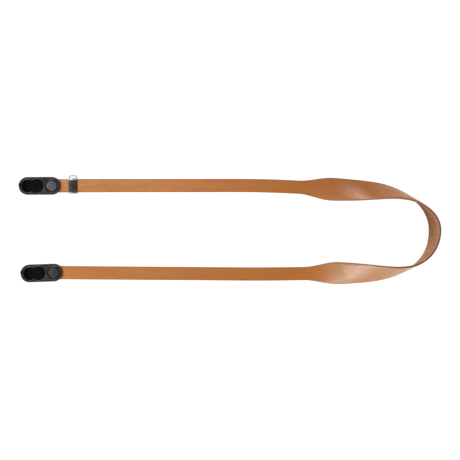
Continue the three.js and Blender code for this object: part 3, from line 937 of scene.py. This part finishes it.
def makeRivet(name, node, place, finish):
    radius, edge, top = rivet["capRadius"], rivet["edge"], rivet["capTop"]
    post, foot, seat = rivet["postRadius"], rivet["postFoot"], rivet["capFoot"]
    profile = [(0, foot)] + quarterRound(post - edge, foot + edge, edge, -90, 0)
    profile += [(post, seat)]
    profile += quarterRound(radius - edge / 2, seat + edge / 2, edge / 2, -90, 0, 4)
    profile += quarterRound(radius - edge, top - edge, edge, 0, 90)
    for i in range(1, rivet["domeSteps"] + 1):
        share = i / rivet["domeSteps"]
        rise = rivet["crown"] * (1 - (1 - share) ** 2)
        profile.append(((radius - edge) * (1 - share), top + rise))
    bm = bmesh.new()
    spinProfile(bm, profile)
    piece = pieceFrom(bm, name, place)
    shadeByAngle(piece)
    piece.data.materials.append(satinMetal(*finish, rivet["relief"]))
    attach(piece, "root")
    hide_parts(node)


def makeConnectors():
    nylons = [plasticMaterial(*finish) for finish in nylonFinishes]
    sides = [
        ("Upper", "upper", upperRivet, 0.0, 1, 0.0),
        ("Lower", "lower", lowerRivet, runEnd, -1, housing["lowerTurn"]),
    ]
    for title, side, spot, run, outward, turn in sides:
        place = connectorPlace(spot, run, outward, turn)
        piece = pieceFrom(housingBody(), "connectorHousing" + title)
        for nylon in nylons:
            piece.data.materials.append(nylon)
        cutAway(piece, housingCutters())
        joinInto(piece, notchSill())
        piece.data.transform(place)
        shadeByAngle(piece)
        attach(piece, "root")
        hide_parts("housing_" + side)
        makeRivet("rivetCap" + title, "cap_" + side, place, capFinishes[side])
        print("connector made:", side, len(piece.data.polygons), "faces")


keeper = {
    "fromRivet": 22.4 * mm,
    "frameLength": 8.7 * mm,
    "plateLength": 9.4 * mm,
    "hookLength": 5 * mm,
    "wire": 1 * mm,
    "corner": 1.8 * mm,
    "window": 2.75 * mm,
    "plate": 0.7 * mm,
    "lipReach": 0.35 * mm,
    "gap": 0.3 * mm,
    "seam": 0.06 * mm,  # between the plate's end and the bar
    "wireSoftening": 0.42 * mm,
    "barSoftening": 0.14 * mm,
    "plateSoftening": 0.12 * mm,
    "rubbedAndPaintedLight": (4.6 * mm, 7.6 * mm),  # from the leg's middle, where the roll's top is painted lighter: a painted highlight
    "rollHighlightColour": (0.40, 0.41, 0.43, 1),
}

# name, base colour, worn colour, roughness, metallic, relief, brushing
wireSteel = ("brightSteel", (0.33, 0.33, 0.33, 1), (0.26, 0.26, 0.265, 1), 0.30, 1.0,
             0.008 * mm, 0.12)
plateFinish = ("gunmetal", (0.056, 0.059, 0.061, 1), (0.086, 0.090, 0.094, 1), 0.32, 0.9,
               0.01 * mm, 0.15)


# One face through points in the plane across the strap, given as (y, z).
def outlineFace(bm, points):
    return bm.faces.new([bm.verts.new((0, y, z)) for y, z in points])


# Extrudes a face along x, centred.
def drawOut(bm, face, length):
    bmesh.ops.translate(bm, vec=(-length / 2, 0, 0), verts=face.verts)
    made = bmesh.ops.extrude_face_region(bm, geom=[face])["geom"]
    moved = [g for g in made if isinstance(g, bmesh.types.BMVert)]
    bmesh.ops.translate(bm, vec=(length, 0, 0), verts=moved)
    bmesh.ops.recalc_face_normals(bm, faces=bm.faces)


def softenEdges(bm, offset, segments=3, degrees=40):
    limit = math.radians(degrees)
    sharp = [e for e in bm.edges if len(e.link_faces) == 2 and e.calc_face_angle(0) > limit]
    bmesh.ops.bevel(bm, geom=sharp, offset=offset, segments=segments, profile=0.5,
                    affect="EDGES", material=-1)


# Gives a keeper piece its place and finish.
def finishKeeperPiece(piece, place, metal):
    piece.data.transform(place)
    shadeByAngle(piece)
    piece.data.materials.clear()
    piece.data.materials.append(metal)


def makeKeeperFrame(place):
    side, face = strap["legWidth"] / 2, strap["thickness"] / 2
    gap, wire = keeper["gap"], keeper["wire"]
    top = -face - gap
    low = -(side + gap + wire)
    far = side + gap + keeper["window"] + wire
    half = keeper["frameLength"] / 2
    bm = bmesh.new()
    bmesh.ops.create_grid(bm, x_segments=1, y_segments=1, size=1)
    bmesh.ops.scale(bm, vec=(half, (far - low) / 2, 1), verts=bm.verts)
    bmesh.ops.translate(bm, vec=(0, (far + low) / 2, top - wire), verts=bm.verts)
    bmesh.ops.bevel(bm, geom=list(bm.verts), offset=keeper["corner"], segments=8, profile=0.5,
                    affect="VERTICES", material=-1)
    middle = list(bm.faces)
    bmesh.ops.inset_individual(bm, faces=middle, thickness=wire, use_even_offset=True)
    bmesh.ops.delete(bm, geom=middle, context="FACES")
    made = bmesh.ops.extrude_face_region(bm, geom=list(bm.faces))["geom"]
    bmesh.ops.translate(bm, vec=(0, 0, wire),
                        verts=[g for g in made if isinstance(g, bmesh.types.BMVert)])
    bmesh.ops.recalc_face_normals(bm, faces=bm.faces)
    softenEdges(bm, keeper["wireSoftening"], 5)
    loop = pieceFrom(bm, "keeperWireFrame")

    wallIn, lipEnd, lipFoot = low + wire, -side + keeper["lipReach"], face + gap
    lipTop = lipFoot + keeper["plate"]
    soft = keeper["plate"] / 2
    bar = [(low, top - wire), (wallIn, top - wire), (wallIn, lipFoot)]
    bar += quarterRound(lipEnd - soft, lipFoot + soft, soft, -90, 90, 10)
    bar += quarterRound(low + soft, lipTop - soft, soft, 90, 180, 6)
    bm = bmesh.new()
    drawOut(bm, outlineFace(bm, bar), keeper["plateLength"])
    softenEdges(bm, keeper["barSoftening"])
    joinInto(loop, pieceFrom(bm, "keeperBar"))
    finishKeeperPiece(loop, place, satinMetal(*wireSteel))
    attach(loop, "root")
    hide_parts("keeper_frame")


def makeKeeperPlate(place):
    side, face = strap["legWidth"] / 2, strap["thickness"] / 2
    inner = face + keeper["gap"]
    outer = inner + keeper["plate"]
    roll = side + keeper["gap"] - inner
    lowEnd = -side + keeper["lipReach"] + keeper["seam"]
    soft = keeper["plate"] / 2
    cover = quarterRound(roll, 0, outer, 0, 90, 16)
    cover += quarterRound(lowEnd + soft, inner + soft, soft, 90, 270, 10)
    cover += quarterRound(roll, 0, inner, 90, 0, 16)
    bm = bmesh.new()
    drawOut(bm, outlineFace(bm, cover), keeper["plateLength"])
    softenEdges(bm, keeper["plateSoftening"])
    piece = pieceFrom(bm, "keeperCoverPlate")
    hookEnd = roll - 2 * inner
    hook = quarterRound(roll, 0, inner, 4, -90, 16) + [(hookEnd, -inner), (hookEnd, -outer)]
    hook += quarterRound(roll, 0, outer, -90, 4, 16)
    bm = bmesh.new()
    drawOut(bm, outlineFace(bm, hook), keeper["hookLength"])
    joinInto(piece, pieceFrom(bm, "keeperHook"))
    # The lighter band over the roll's top is a painted highlight.
    highlightFrom, highlightTo = (place.translation.y + spot for spot in keeper["rubbedAndPaintedLight"])
    gunmetal = satinMetal(*plateFinish, rubbedAndPaintedLight=(highlightFrom, highlightTo, keeper["rollHighlightColour"]))
    finishKeeperPiece(piece, place, gunmetal)
    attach(piece, "root")
    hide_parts("keeper_plate")


def makeKeeper():
    place = strapPlace(keeper["fromRivet"])
    makeKeeperFrame(place)
    makeKeeperPlate(place)
    print("keeper made")


makeCamera()
makeFloor()
makeLights()
print("studio ready")
makeStrap()
makeConnectors()
makeKeeper()
